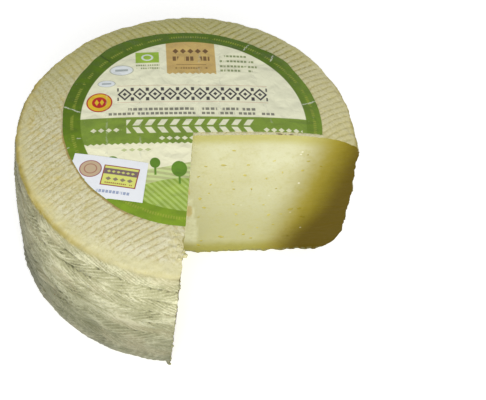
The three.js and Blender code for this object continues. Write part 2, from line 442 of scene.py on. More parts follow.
def topRelief(x, y):
    quarter = quarterAt(math.degrees(math.atan2(y, x)))
    crumbly = crumblyAt(x, y)
    across, along = furrowPlace(x, y, quarter)
    line = abs(across - round(across)) * furrows["pitch"] / furrows["halfWidth"]
    valley = max(0.0, 1 - line) ** 0.8
    uneven = 0.7 + 0.7 * wobble(along / 7, round(across) * 3.7, quarter["turn"])
    shift = 1 + 0.025 * wobble(x / 6, y / 6, 4)
    fade = furrowFade(quarter, x * shift, y * shift)
    outer = smooth(paperDistance(x, y), -1.8, 0.3)
    height = -furrows["depth"] * valley * min(1.0, max(0.1, uneven)) * quarter["strength"] * fade
    cross = math.cos(2 * math.pi * along / furrows["crossPitch"] + 2 * wobble(x / 5, y / 5, 8))
    height += furrows["crossDepth"] * quarter["hatch"] * cross * fade
    bumps = 0.22 * wobble(x / 1.6, y / 1.6, 2) + 0.3 * wobble(x / 5, y / 5, 3)
    swell = 0.45 * wobble(x / 24, y / 24, 5)
    knobs = 1.5 * max(0.0, wobble(x / 2.3, y / 2.3, 7) + 0.15) * crumbly
    sunk = -0.25 * (1 - outer)
    return (height + bumps * 0.7 + swell + knobs) * outer + sunk


def rowsAt(angle, z):
    x, y = wheelShape["radius"] * math.cos(angle), wheelShape["radius"] * math.sin(angle)
    wander = 3.6 * wobble(x / 38, y / 38, z / 60) + 0.8 * wobble(x / 9, y / 9, z / 9)
    return (z + wander - 9) / plait["rowHeight"]


def strokesAt(angle, z):
    # number of plait strokes passed; the slant turns over from each row to the next
    row = rowsAt(angle, z)
    zigzag = abs((row % 2) - 1) * plait["rowHeight"]
    slant = math.radians(plait["strokeTurn"])
    around = angle * wheelShape["radius"]
    return (around * math.sin(slant) + zigzag * math.cos(slant)) / plait["strokePitch"]


def strokeStrength(angle, z):
    x, y = wheelShape["radius"] * math.cos(angle), wheelShape["radius"] * math.sin(angle)
    return smooth(wobble(x / 17, y / 17, z / 9 + 11), -0.35, 0.15)


def sideRelief(angle, z):
    x, y = wheelShape["radius"] * math.cos(angle), wheelShape["radius"] * math.sin(angle)
    row = rowsAt(angle, z)
    groove = max(0.0, 1 - abs(row - round(row)) * 7)
    rowStrength = 0.5 + 0.8 * wobble(x / 22, y / 22, round(row) * 5.3)
    height = -plait["rowDepth"] * groove ** 1.3 * max(0.0, rowStrength)
    strokes = math.cos(2 * math.pi * strokesAt(angle, z))
    height += plait["strokeDepth"] * strokes * strokeStrength(angle, z)
    tilt = z + 7 * wobble(x / 40, y / 40, 3)
    height += plait["foldDepth"] * wobble(x / 30, y / 30, tilt / 6.5)
    crease = abs(wobble(x / 26, y / 26, tilt / 7 + 20))
    folded = 1 - 0.7 * smooth(x, -62, -25) * smooth(y, -20, -50)
    height -= plait["creaseDepth"] * smooth(crease, 0.13, 0.0) * folded
    fine = abs(wobble(x / 15 + 9, y / 15, tilt / 3.4))
    height -= plait["fineDepth"] * smooth(fine, 0.2, 0.0) * folded
    height += 0.15 * wobble(x / 5, y / 5, z / 1.6)
    height += plait["lumpDepth"] * wobble(x / 12, y / 12, z / 9 + 5)
    return height


def shoulderSway(x, y):
    # slow bulges round the shoulder, stronger on the far right
    far = 0.55 + 0.45 * smooth(x + y, -20, 60)
    slow = 1.5 * wobble(x / 21, y / 21, 33)
    quick = 0.7 * wobble(x / 8, y / 8, 34)
    return (slow + quick) * far - 0.3


def pressWheel(bm):
    high = wheelShape["height"] - wheelShape["shoulderDrop"]
    for vert in bm.verts:
        x, y, z = vert.co
        r = math.hypot(x, y)
        if r < 60 and z > 1:
            vert.co.z -= 0.25
            continue
        if r < wheelShape["baseRadius"] - 1 and z < 1:
            continue
        angle = math.atan2(y, x)
        onTop = smooth(z, high - 4, high + 0.5)
        if onTop > 0:
            vert.co.z += topRelief(x, y) * smooth(onTop, 0.2, 1)
        out = shoulderSway(x, y) * smooth(r, 84, 93) * smooth(z, high - 22, high - 2)
        out += swellAt(angle) * smooth(r, 84, 94) * smooth(z, 0, wheelShape["baseRound"])
        if z < high + 2:
            amount = smooth(z, -4, wheelShape["baseRound"]) * (1 - 0.75 * onTop)
            out += (sideRelief(angle, z) - 0.75) * amount
            out += 0.8 * wobble(x / 3.5, y / 3.5, 9) * smooth(z, 7, 1)
            spur = plait["spur"]
            fromSpur = abs(math.degrees(angle) - spur["angle"]) * math.radians(r)
            low = smooth(z, spur["height"], 6)
            out += spur["out"] * smooth(fromSpur, spur["width"], 0.4) * low
            out -= spur["beside"] * smooth(x, -30, -12) * smooth(y, -40, -60) * low
            lip = 0.8 * wobble(x / 7, y / 7, 13) + 0.5 * wobble(x / 2.5, y / 2.5, 14)
            vert.co.z += lip * smooth(abs(z - high), 4, 0)
        foot = smooth(z, wheelShape["baseRound"], 0)
        vert.co.x += x / r * out + wheelShape["baseShift"][0] * foot
        vert.co.y += y / r * out + wheelShape["baseShift"][1] * foot


def makeWheel():
    bm = bmesh.new()
    points = wheelOutline()
    verts = [bm.verts.new((r, 0, z)) for r, z in points]
    for first, second in zip(verts, verts[1:]):
        bm.edges.new((first, second))
    bmesh.ops.spin(
        bm,
        geom=bm.verts[:] + bm.edges[:],
        cent=(0, 0, 0),
        axis=(0, 0, 1),
        angle=2 * math.pi,
        steps=wheelShape["turnSteps"],
        use_merge=True,
    )
    bmesh.ops.remove_doubles(bm, verts=bm.verts, dist=0.0005)
    pressWheel(bm)
    bmesh.ops.scale(bm, vec=(mm, mm, mm), verts=bm.verts)
    bmesh.ops.recalc_face_normals(bm, faces=bm.faces)
    return bm


# the missing quarter, as the block that is taken away

def notchFrame():
    back = direction(notchCut["backTurn"])
    front = direction(notchCut["frontTurn"])
    across = Vector((-back.y, back.x, 0))
    side = Vector((front.y, -front.x, 0))
    return back, front, across, side, Vector(notchCut["apex"] + (0,))


def facetDepthAt(along, z):
    top, full = notchCut["facetTop"], notchCut["facetFull"]
    width = notchCut["facetWidth"] * min(1, (top - z) / (top - full))
    width += 0.6 * wobble(z / 6, 0, 17)
    if width <= 0.5:
        return 0.0
    return notchCut["facetDepth"] * min(1.0, max(0.0, 1 - along / width)) * min(1.0, width / 3)


def makeNotch():
    back, front, across, side, apex = notchFrame()
    reach = notchCut["reach"]
    bm = bmesh.new()
    bmesh.ops.create_cube(bm, size=1)
    for vert in bm.verts:
        place = apex.copy()
        if vert.co.x > 0:
            place += back * reach
        if vert.co.y < 0:
            place += front * reach
        place.z = 125 if vert.co.z > 0 else -12
        vert.co = place
    bmesh.ops.subdivide_edges(bm, edges=bm.edges[:], cuts=notchCut["cuts"], use_grid_fill=True)
    lean = math.tan(math.radians(notchCut["frontLean"]))
    for vert in bm.verts:
        offset = vert.co - apex
        z = vert.co.z
        outOfBack = offset.dot(across)
        outOfFront = offset.dot(side)
        x, y = vert.co.x, vert.co.y
        r = math.hypot(x, y)
        rimRough = smooth(r, 88, 96) + smooth(wheelShape["height"] - domeDrop(min(r, 95)) - z, 5, 0)
        foot = smooth(z, 3, 0)
        if abs(outOfBack) < 0.01:
            along = offset.dot(back)
            wave = 0.35 * wobble(along / 30, z / 22, 1)
            rough = 0.06 * wobble(along / 2.4, z / 2.4, 2) * (1 + 3 * min(1, rimRough))
            ragged = 0.5 + 1.3 * wobble(along / 5, 0, 41) + 0.7 * wobble(along / 1.9, 0, 42)
            burr = notchCut["footBurr"] * max(0.0, ragged) * foot
            vert.co += across * (facetDepthAt(along, z) + (wave + rough) * smooth(along, 0, 5) - burr)
        if abs(outOfFront) < 0.01:
            behind = offset.dot(front)
            wave = 0.4 * wobble(behind / 28, z / 20, 5)
            rough = 0.07 * wobble(behind / 2.8, z / 2.8, 6) * (1 + 15 * min(1, rimRough))
            vert.co += side * ((wheelShape["height"] - z) * lean + (wave + rough) * smooth(behind, 0, 5))
    bmesh.ops.scale(bm, vec=(mm, mm, mm), verts=bm.verts)
    bmesh.ops.recalc_face_normals(bm, faces=bm.faces)
    for face in bm.faces:
        face.material_index = 1
    return bm


# eyes in the paste: distance from the apex, height, width and how long they are

eyes = {
    "back": [
        (18.3, 81.3, 2.3, 1.6), (23.5, 93.7, 1.6, 2.0), (32.4, 80.8, 1.5, 1.4), (47.1, 83.4, 1.7, 1.5),
        (8.4, 80.6, 1.5, 1.9), (4.5, 71.6, 1.4, 1.7), (31.1, 71.6, 1.6, 1.2), (43.7, 68.2, 1.2, 0.7),
        (52.6, 73.0, 1.2, 0.4), (11.7, 64.0, 1.3, 1.0), (24.4, 66.3, 1.2, 1.0), (25.4, 59.3, 1.4, 1.7),
        (35.6, 59.1, 1.5, 0.5), (50.1, 59.1, 1.5, 1.7), (53.3, 53.3, 1.2, 1.3), (6.2, 51.2, 2.0, 0.8),
        (9.1, 42.9, 1.8, 1.6), (26.1, 45.2, 1.1, 1.0), (43.9, 43.9, 1.3, 1.0), (28.2, 35.6, 1.4, 1.8),
        (47.8, 34.0, 2.0, 1.2), (29.5, 25.4, 1.6, 1.3), (20.3, 14.4, 2.4, 1.9), (33.9, 15.9, 1.7, 1.3),
        (8.8, 11.0, 1.6, 1.0), (7.3, 6.7, 1.8, 1.9), (60.0, 38.8, 2.4, 1.7), (65.4, 39.5, 2.3, 1.1),
        (67.9, 31.4, 2.5, 2.2), (64.0, 74.4, 1.7, 1.1), (66.6, 82.6, 1.6, 1.5), (65.7, 88.3, 1.3, 1.2),
        (51.0, 24.6, 1.2, 1.5), (41.8, 21.9, 1.3, 1.6),
    ],
    "moreBack": 8,
    "front": 46,
    "seed": 17,
}


def makeEyes(settings):
    back, front, across, side, apex = notchFrame()
    lean = math.tan(math.radians(notchCut["frontLean"]))
    noise.seed_set(settings["seed"])
    bm = bmesh.new()
    placed = []

    def carve(face, along, z, width, length):
        if face == "back":
            centre = apex + back * along + across * facetDepthAt(along, z) + Vector((0, 0, z))
            inward, run = across, back
        else:
            centre = apex + front * along + side * ((wheelShape["height"] - z) * lean) + Vector((0, 0, z))
            inward, run = side, front
        if any((centre - other).length < 3.2 for other in placed):
            return
        placed.append(centre)
        made = bmesh.ops.create_icosphere(bm, subdivisions=2, radius=width / 2)["verts"]
        tilt = 0.9 * noise.random() - 0.45
        up = Vector((0, 0, 1))
        longWay = (run * math.cos(tilt) + up * math.sin(tilt)).normalized()
        shortWay = longWay.cross(inward).normalized()
        for vert in made:
            lump = 1 + 0.5 * noise.noise(vert.co * 1.4 + centre)
            a, b, c = vert.co * lump
            flat = math.sqrt(length)
            vert.co = centre + longWay * a * flat + shortWay * b / flat + inward * (c * 0.38 + 0.04)

    for along, z, width, length in settings["back"]:
        carve("back", along, z, width * 1.15, length)
    for i in range(settings["moreBack"]):
        along = 6 + 82 * noise.random()
        carve("back", along, 8 + 88 * noise.random(), 1.0 + 0.9 * noise.random(), 0.9 + noise.random())
    for i in range(settings["front"]):
        along = 5 + 75 * noise.random()
        carve("front", along, 8 + 86 * noise.random(), 0.9 + 1.4 * noise.random() ** 2, 0.9 + noise.random())
    bmesh.ops.scale(bm, vec=(mm, mm, mm), verts=bm.verts)
    bmesh.ops.recalc_face_normals(bm, faces=bm.faces)
    for face in bm.faces:
        face.material_index = 2
    return bm


def takeAway(piece, cutter):
    # subtracts the cutter from the piece for good, then removes the cutter
    modifier = piece.modifiers.new("cut", "BOOLEAN")
    modifier.operation = "DIFFERENCE"
    modifier.object = cutter
    modifier.solver = "MANIFOLD"
    graph = bpy.context.evaluated_depsgraph_get()
    result = bpy.data.meshes.new_from_object(piece.evaluated_get(graph))
    piece.modifiers.clear()
    old = piece.data
    piece.data = result
    bpy.data.meshes.remove(old)
    bpy.data.objects.remove(cutter)


def finishWheel(piece):
    # maps and numbers that the rind and the paste read
    mesh = piece.data
    bm = bmesh.new()
    bm.from_mesh(mesh)
    bmesh.ops.dissolve_degenerate(bm, edges=bm.edges[:], dist=0.00001)
    press = bm.loops.layers.uv.new("press")
    wrap = bm.loops.layers.uv.new("wrap")
    heightLayer = bm.verts.layers.float.new("relief")
    depthLayer = bm.verts.layers.float.new("depth")
    facetLayer = bm.verts.layers.float.new("facet")
    paperLayer = bm.verts.layers.float.new("fromPaper")
    evenLayer = bm.verts.layers.float.new("evenRadius")
    back, front, across, side, apex = notchFrame()
    lineLayer = bm.loops.layers.float.new("lineStrength")
    hatchLayer = bm.loops.layers.float.new("hatchStrength")
    high = wheelShape["height"] - wheelShape["shoulderDrop"]
    for vert in bm.verts:
        x, y, z = vert.co * 1000
        r = math.hypot(x, y)
        angle = math.atan2(y, x)
        vert[heightLayer] = sideRelief(angle, z) if z < high + 1 else 0.0
        vert[paperLayer] = paperDistance(x, y)
        even = r - swellAt(angle) * smooth(r, 84, 94)
        vert[evenLayer] = even
        below = wheelShape["height"] - domeDrop(min(even, 95.6)) - z
        vert[depthLayer] = min(below, z, wheelShape["radius"] - 1.5 - even)
        offset = Vector((x, y, 0)) - apex
        if abs(offset.dot(across)) < 2:
            vert[facetLayer] = min(1.0, facetDepthAt(offset.dot(back), z) * 8)
    known = {}
    for face in bm.faces:
        face.smooth = True
        if face.material_index > 0:
            continue
        centre = face.calc_center_median() * 1000
        quarter = quarterAt(math.degrees(math.atan2(centre.y, centre.x))) if centre.z > high - 1 else None
        for loop in face.loops:
            key = (loop.vert, quarter and quarter["from"])
            if key not in known:
                x, y, z = loop.vert.co * 1000
                angle = math.atan2(y, x)
                if math.degrees(angle) < -40:
                    angle += 2 * math.pi
                if quarter:
                    fade = furrowFade(quarter, x, y)
                    marks = (furrowPlace(x, y, quarter), quarter["strength"] * fade, quarter["hatch"] * fade)
                else:
                    marks = ((strokesAt(angle, z), rowsAt(angle, z)), strokeStrength(angle, z), 0.0)
                known[key] = marks + ((angle * wheelShape["radius"], z),)
            loop[press].uv, loop[lineLayer], loop[hatchLayer], loop[wrap].uv = known[key]
    for edge in bm.edges:
        if len(edge.link_faces) == 2:
            first, second = edge.link_faces
            corner = edge.calc_face_angle(0) > math.radians(48)
            edge.smooth = not (first.material_index != second.material_index or corner)
    bm.to_mesh(mesh)
    bm.free()


# rind: pale pressed top with brown furrows, ochre shoulder, olive-grey side

rindLook = {
    "ridge": rgb(224, 220, 188),
    "cream": rgb(208, 203, 158),
    "yellow": rgb(204, 194, 132),
    "furrow": rgb(182, 160, 98),
    "furrowFar": rgb(158, 150, 66),
    "dot": rgb(150, 120, 64),
    "olive": rgb(178, 168, 100),
    # far: painted shade for the far slope of the top
    "far": rgb(184, 180, 84),
    "flush": rgb(208, 188, 96),
    "warm": rgb(234, 224, 156),
    "band": rgb(209, 203, 152),
    "shoulder": rgb(160, 142, 40),
    "edgeLine": rgb(160, 130, 52),
    "bare": rgb(228, 222, 184),
    "sideDark": rgb(86, 86, 52),
    "sideMid": rgb(162, 160, 120),
    "sideLight": rgb(212, 210, 174),
    "sideGrey": rgb(130, 135, 98),
    "sideBrown": rgb(174, 164, 126),
    # sideSpeckAndReflection: pale specks on the side, also used for the painted reflection along the foot
    "sideSpeckAndReflection": rgb(204, 205, 188),
    "speck": rgb(110, 84, 52),
    # dark bits on the strip beside the back cut: across, up the plan, and half sizes
    "bits": [(50.4, 0.5, 1.7, 0.6), (56.8, 1.3, 1.2, 0.5), (53.5, 0.6, 0.6, 0.4)],
}


def makeRind(look):
    material, tree, shader = newMaterial("rind", 0.62)
    place = millimetres(tree)
    x, y, z = parts(tree, place)
    r = ownNumber(tree, "evenRadius")
    press = ownMap(tree, "press")
    count, along, _ = parts(tree, press)
    wrap = ownMap(tree, "wrap")

    strength = ownNumber(tree, "lineStrength")
    hatch = ownNumber(tree, "hatchStrength")

    def part(factor, amount):
        return times(tree, factor, amount)

    def centred(value, amount):
        return part(minus(tree, value, 0.5), amount)

    # pressed top
    large = cloud(tree, place, 20, 3)
    patch = cloud(tree, place, 4.5, 3, 0.65)
    grain = cloud(tree, place, 1.5, 3, 0.7)
    top = mix(tree, step(tree, large, 0.38, 0.62), look["cream"], look["yellow"])
    top = mix(tree, step(tree, patch, 0.4, 0.66, 0.15, 0.75), top, look["ridge"])
    top = mix(tree, part(step(tree, grain, 0.52, 0.66), 0.6), top, look["olive"])
    top = mix(tree, part(step(tree, grain, 0.46, 0.34), 0.5), top, look["ridge"])
    dust = cloud(tree, stretch(tree, press, (4.2, 0.55, 1)), 1, 3, 0.65, 0.6)
    lowLeft = step(tree, timesPlus(tree, y, 0.6, x), -40, -90, 0.4, 0.85)
    top = mix(tree, times(tree, step(tree, dust, 0.52, 0.68), lowLeft), top, look["olive"])
    top = mix(tree, times(tree, step(tree, dust, 0.48, 0.32), lowLeft), top, look["ridge"])
    left = step(tree, x, -30, -75)
    flush = times(tree, step(tree, cloud(tree, place, 7, 3, 0.6), 0.5, 0.64), left)
    top = mix(tree, part(flush, 0.45), top, look["flush"])
    off = sizeOf(tree, minus(tree, count, calc(tree, "ROUND", count)))
    top = mix(tree, part(times(tree, step(tree, off, 0.15, 0.4), strength), 0.3), top, look["ridge"])
    dash = cloud(tree, stretch(tree, press, (7, 1, 1)), 2.6, 3, 0.75)
    ragged = plus(tree, centred(patch, 0.2), centred(grain, 0.22))
    line = step(tree, plus(tree, off, ragged), 0.2, 0.03)
    line = times(tree, times(tree, line, strength), step(tree, dash, 0.36, 0.58, 0.1, 1.0))
    behind = step(tree, timesPlus(tree, x, 0.3, y), -20, 25)
    furrowColor = mix(tree, behind, look["furrow"], look["furrowFar"])
    top = mix(tree, part(line, 0.75), top, furrowColor)
    dots = times(tree, step(tree, line, 0.45, 0.8), step(tree, cloud(tree, place, 1.4, 1), 0.56, 0.64))
    top = mix(tree, part(dots, 0.7), top, look["dot"])
    crossOff = sizeOf(tree, repeated(tree, plus(tree, along, centred(patch, 2)), furrows["crossPitch"]))
    crossLine = times(tree, step(tree, crossOff, 0.22, 0.45), hatch)
    top = mix(tree, part(times(tree, crossLine, step(tree, grain, 0.4, 0.6)), 0.6), top, look["olive"])
    # painted shade: the far part of the top is painted darker and more olive, where the dome slopes away from
    # the light
    farShade = step(tree, timesPlus(tree, x, -0.35, y), 15, 100)
    top = mix(tree, part(farShade, 0.55), top, look["far"])
    top = mix(tree, step(tree, timesPlus(tree, y, 0.2, x), 50, 90, 0.0, 0.4), top, look["warm"])
    top = mix(tree, step(tree, timesPlus(tree, x, 0.25, y), -55, -85, 0.0, 0.16), top, look["ridge"])
    bandMask = times(tree, step(tree, plus(tree, r, centred(patch, 5)), 87.5, 91), step(tree, y, 30, -10))
    top = mix(tree, part(bandMask, 0.6), top, look["band"])

    # strip beside the back cut, and a brown line along the paper's lower left edge
    fromPaper = ownNumber(tree, "fromPaper")
    bare = mix(tree, part(step(tree, grain, 0.45, 0.65), 0.7), look["bare"], look["yellow"])
    top = mix(tree, step(tree, fromPaper, -0.2, -1.6), top, bare)
    for across, up, wide, tall in look["bits"]:
        shape = plus(tree, oval(tree, x, y, (across, up), (wide, tall)), centred(grain, 2.5))
        top = mix(tree, step(tree, shape, 1.3, 0.8, 0.0, 0.75), top, look["speck"])
    # brown along the paper's lower left edge, pale along its upper left edge
    edgeLine = step(tree, plus(tree, fromPaper, centred(patch, 1.5)), 1.3, 0.5)
    edgeLine = times(tree, edgeLine, step(tree, fromPaper, -1.1, -0.2))
    lowerLeft = step(tree, timesPlus(tree, y, 0.55, x), -50, -68)
    top = mix(tree, part(times(tree, edgeLine, lowerLeft), 0.75), top, look["edgeLine"])
    upperLeft = times(tree, step(tree, x, -55, -68), step(tree, y, -18, -6))
    top = mix(tree, part(times(tree, edgeLine, upperLeft), 0.5), top, look["bare"])

    # fibrous side
    stroke = cloud(tree, stretch(tree, press, (1.3, 1.4, 1)), 1, 3, 0.7, 0.5)
    fibre = cloud(tree, stretch(tree, wrap, (0.12, 0.7, 1)), 1, 4, 0.7, 0.5)
    patches = cloud(tree, stretch(tree, wrap, (0.035, 0.06, 1)), 1, 3, 0.6)
    wave = calc(tree, "COSINE", times(tree, count, 2 * math.pi))
    rowOff = sizeOf(tree, minus(tree, along, calc(tree, "ROUND", along)))
    smeared = step(tree, cloud(tree, stretch(tree, wrap, (0.055, 0.09, 1)), 1, 3, 0.55, 0.4), 0.5, 0.62)
    marked = times(tree, times(tree, wave, strength), 0.17)
    for value, amount in ((stroke, 0.85), (fibre, 0.4)):
        marked = plus(tree, marked, centred(value, amount))
    marked = times(tree, marked, timesPlus(tree, smeared, -0.55, 1.0))
    tone = timesPlus(tree, ownNumber(tree, "relief"), 0.3, 0.64)
    tone = plus(tree, tone, marked)
    tone = plus(tree, tone, part(smeared, 0.08))
    tone = minus(tree, tone, part(step(tree, rowOff, 0.07, 0.0), 0.1))
    tone = plus(tree, tone, centred(grain, 0.8))
    tone = plus(tree, tone, centred(cloud(tree, stretch(tree, wrap, (0.7, 1.4, 1)), 1, 3, 0.7), 0.5))
    tone = plus(tree, tone, centred(patch, 0.3))
    split = cloud(tree, stretch(tree, wrap, (0.07, 0.26, 1)), 1, 4, 0.6, 0.7)
    split = step(tree, sizeOf(tree, minus(tree, split, 0.5)), 0.022, 0.004)
    split = times(tree, split, step(tree, x, -30, -62, 0.3, 1.0))
    tone = minus(tree, tone, part(times(tree, split, step(tree, patch, 0.42, 0.58)), 0.3))
    side = mix(tree, step(tree, tone, 0.0, 0.5), look["sideDark"], look["sideMid"])
    side = mix(tree, step(tree, tone, 0.45, 0.95), side, look["sideLight"])
    low = step(tree, z, 75, 12)
    side = mix(tree, part(times(tree, step(tree, patches, 0.38, 0.6), low), 0.5), side, look["sideGrey"])
    side = mix(tree, part(step(tree, patches, 0.5, 0.36), 0.35), side, look["sideBrown"])
    speck = times(tree, step(tree, grain, 0.42, 0.3), step(tree, stroke, 0.45, 0.6))
    side = mix(tree, part(speck, 0.6), side, look["sideSpeckAndReflection"])
    # painted reflection: a pale line along the foot on the left and front, standing in for light from the
    # floor
    footReflection = times(tree, step(tree, z, 2, 5), step(tree, z, 12, 7))
    footReflection = times(tree, times(tree, footReflection, step(tree, patch, 0.4, 0.6)), step(tree, x, -5, -35))
    side = mix(tree, part(footReflection, 0.4), side, look["sideSpeckAndReflection"])
    # painted shade and light: the side is darker towards the foot and on the far left, and lighter at the
    # upper front, as light from above and the front falls
    paintedShade = times(tree, step(tree, z, 6, 76, 0.55, 1.06), step(tree, x, -58, -98, 1.0, 0.6))
    paintedShade = times(tree, paintedShade, timesPlus(tree, step(tree, x, -55, 5), step(tree, z, 45, 80, 0.0, 0.14), 0.97))
    side = mix(tree, 1.0, side, paintedShade, "MULTIPLY")

    # shoulder between the two
    wander = cloud(tree, stretch(tree, place, (1, 1, 0)), 9, 3, 0.6)
    above = plus(tree, minus(tree, 95.6, r), minus(tree, z, 93.6))
    above = plus(tree, above, centred(wander, 6))
    upper = step(tree, z, 60, 80)
    isTop = times(tree, step(tree, above, -2.0, 1.2), upper)
    color = mix(tree, isTop, side, top)
    hemEnds = calc(tree, "MAXIMUM", step(tree, x, -25, -75, 0.2, 1.0), step(tree, x, 62, 86))
    hem = times(tree, step(tree, above, -3.6, -0.6), step(tree, above, 4.6, 0.4))
    hem = times(tree, times(tree, hem, hemEnds), upper)
    hem = times(tree, hem, step(tree, patch, 0.3, 0.55, 0.45, 1.0))
    inner = times(tree, step(tree, above, 9, 2), times(tree, isTop, left))
    color = mix(tree, part(times(tree, inner, step(tree, wander, 0.35, 0.6)), 0.5), color, look["flush"])
    color = mix(tree, part(hem, 0.85), color, look["shoulder"])

    # few dark specks
    fleck = step(tree, spots(tree, place, 15), 0.045, 0.02)
    color = mix(tree, part(fleck, 0.8), color, look["speck"])
    feed(tree, shader.inputs["Base Color"], color)

    coarse = relief(tree, cloud(tree, place, 1.4, 3, 0.65), 0.4, 0.0006)
    strokes = part(times(tree, tone, minus(tree, 1, isTop)), 0.75)
    height = minus(tree, strokes, part(times(tree, line, isTop), 0.35))
    feed(tree, shader.inputs["Normal"], relief(tree, height, 0.6, 0.0008, coarse))
    return material


# paste: pale ivory, yellower under the rind, with specks and faint knife streaks

pasteLook = {
    "pale": rgb(211, 210, 172),
    "cream": rgb(203, 200, 156),
    "low": rgb(184, 181, 132),
    "olive": rgb(182, 176, 92),
    "foot": rgb(146, 140, 54),
    # gold and rim: the paste's own colour near the rind, deepened by painted shadow
    "gold": rgb(146, 132, 22),
    "rim": rgb(84, 68, 0),
    # facet: a paler colour, painted light on the knife facet
    "facet": rgb(220, 219, 182),
    "tan": rgb(186, 164, 90),
    "hollow": rgb(206, 192, 74),
    "fleck": rgb(236, 234, 212),
    "burr": rgb(122, 122, 84),
    # middle of each tan patch beside the innermost edge: along the back cut, then height, and its half sizes
    "patches": [(0.4, 39, 2.4, 7.5), (-0.6, 57, 1.4, 4)],
    # white specks on the back cut: along it, height and how white
    "specks": [
        (61.7, 88.9, 0.75), (62.3, 90.9, 0.6), (62.9, 63.2, 0.65), (60.3, 35.8, 0.25), (46.3, 52.6, 0.3),
        (30.6, 44.3, 0.2), (67.8, 21.0, 0.25),
    ],
}


def makePaste(look, name, deeper):
    material, tree, shader = newMaterial(name, 0.5, 0.3)
    place = millimetres(tree)
    x, y, z = parts(tree, place)
    r = calc(tree, "SQRT", plus(tree, times(tree, x, x), times(tree, y, y)))
    large = cloud(tree, place, 26, 3)
    mottle = cloud(tree, place, 4, 3, 0.6)
    fine = cloud(tree, place, 1.3, 3, 0.65)
    color = mix(tree, step(tree, large, 0.35, 0.65), look["pale"], look["cream"])
    color = mix(tree, step(tree, z, 85, 12), color, look["low"])
    color = mix(tree, times(tree, step(tree, mottle, 0.5, 0.7), 0.2), color, look["olive"])

    # knife facet beside the innermost edge, painted paler as painted light against the shade of the corner,
    # with tan patches
    facet = times(tree, ownNumber(tree, "facet"), step(tree, mottle, 0.3, 0.7, 0.9, 0.4))
    color = mix(tree, facet, color, look["facet"])
    back, front, across, side, apex = notchFrame()
    fromApex = minus(tree, timesPlus(tree, x, back.x, times(tree, y, back.y)), apex.dot(back))
    behind = minus(tree, timesPlus(tree, x, across.x, times(tree, y, across.y)), apex.dot(across))
    onBack = step(tree, sizeOf(tree, behind), 4, 2.5)
    for along, height, wide, tall in look["patches"]:
        shape = plus(tree, oval(tree, fromApex, z, (along, height), (wide, tall)), times(tree, mottle, 1.2))
        color = mix(tree, times(tree, step(tree, shape, 1.6, 1.1, 0.0, 0.7), onBack), color, look["tan"])

    # yellower under the rind, olive at the foot, ochre and brown towards the outside: partly the paste's own
    # colour near the rind, partly painted shadow, darkest low down
    uneven = minus(tree, mottle, 0.5)
    depth = timesPlus(tree, uneven, 4, ownNumber(tree, "depth"))
    color = mix(tree, step(tree, depth, 11, 2.5, 0.0, 0.85), color, look["olive"])
    color = mix(tree, step(tree, timesPlus(tree, uneven, 5, z), 13, 3, 0.0, 0.75), color, look["foot"])
    color = mix(tree, times(tree, step(tree, fine, 0.5, 0.7), 0.2), color, look["olive"])
    if deeper:
        color = mix(tree, 0.7, color, look["hollow"])
    reach = timesPlus(tree, z, -0.23, timesPlus(tree, uneven, 4, r))
    # partly painted shadow: the ochre and the dark brown deepen towards the outside and more at the foot, as
    # where a neighbouring wedge shades the cut
    color = mix(tree, step(tree, reach, 37, 63, 0.0, 0.98), color, look["gold"])
    rimAndShadowReach = plus(tree, reach, step(tree, z, 44, 4, 0, 10))
    color = mix(tree, step(tree, rimAndShadowReach, 56, 80, 0.0, 0.95), color, look["rim"])
    feed(tree, shader.inputs["Specular IOR Level"], step(tree, reach, 50, 70, 0.3, 0.08))

    # white specks, and the grey-green bits of rind along the foot
    for along, height, white in look["specks"]:
        shape = plus(tree, oval(tree, fromApex, z, (along, height), (0.9, 0.8)), times(tree, fine, 0.9))
        color = mix(tree, times(tree, step(tree, shape, 1.4, 0.9, 0.0, white), onBack), color, look["fleck"])
    edge = times(tree, step(tree, z, 2.2, 0.6), step(tree, fine, 0.42, 0.55))
    color = mix(tree, times(tree, edge, 0.8), color, look["burr"])
    feed(tree, shader.inputs["Base Color"], color)
    smear = cloud(tree, stretch(tree, place, (0.05, 0.05, 0.16)), 1, 3, 0.5, 0.8)
    height = plus(tree, times(tree, mottle, 0.3), times(tree, fine, 0.25))
    height = timesPlus(tree, smear, 1.6, height)
    feed(tree, shader.inputs["Normal"], relief(tree, height, 0.35, 0.0008))
    return material


rind = makeRind(rindLook)
paste = makePaste(pasteLook, "paste", False)
eyeHollow = makePaste(pasteLook, "eyeHollow", True)
wheel = newObject("cheeseWheel", makeWheel(), [rind, paste, eyeHollow])
print("wheel spun and pressed:", len(wheel.data.polygons), "faces")
takeAway(wheel, newObject("notchBlock", makeNotch(), [rind, paste, eyeHollow]))
print("quarter cut out:", len(wheel.data.polygons), "faces")
takeAway(wheel, newObject("eyeBlobs", makeEyes(eyes), [rind, paste, eyeHollow]))
finishWheel(wheel)
print("eyes hollowed:", len(wheel.data.polygons), "faces")
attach(wheel, "root")
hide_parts("cheese_wheel")


# crumbs of rind along the front cut, one mesh

crumbs = {
    "knob": (7.2, -84.5, 99.4, 1.35),
    "seam": 18,
    "edge": 14,
    "seed": 5,
    "pale": rgb(220, 215, 170),
    "olive": rgb(192, 184, 122),
    "grey": rgb(132, 132, 96),
}


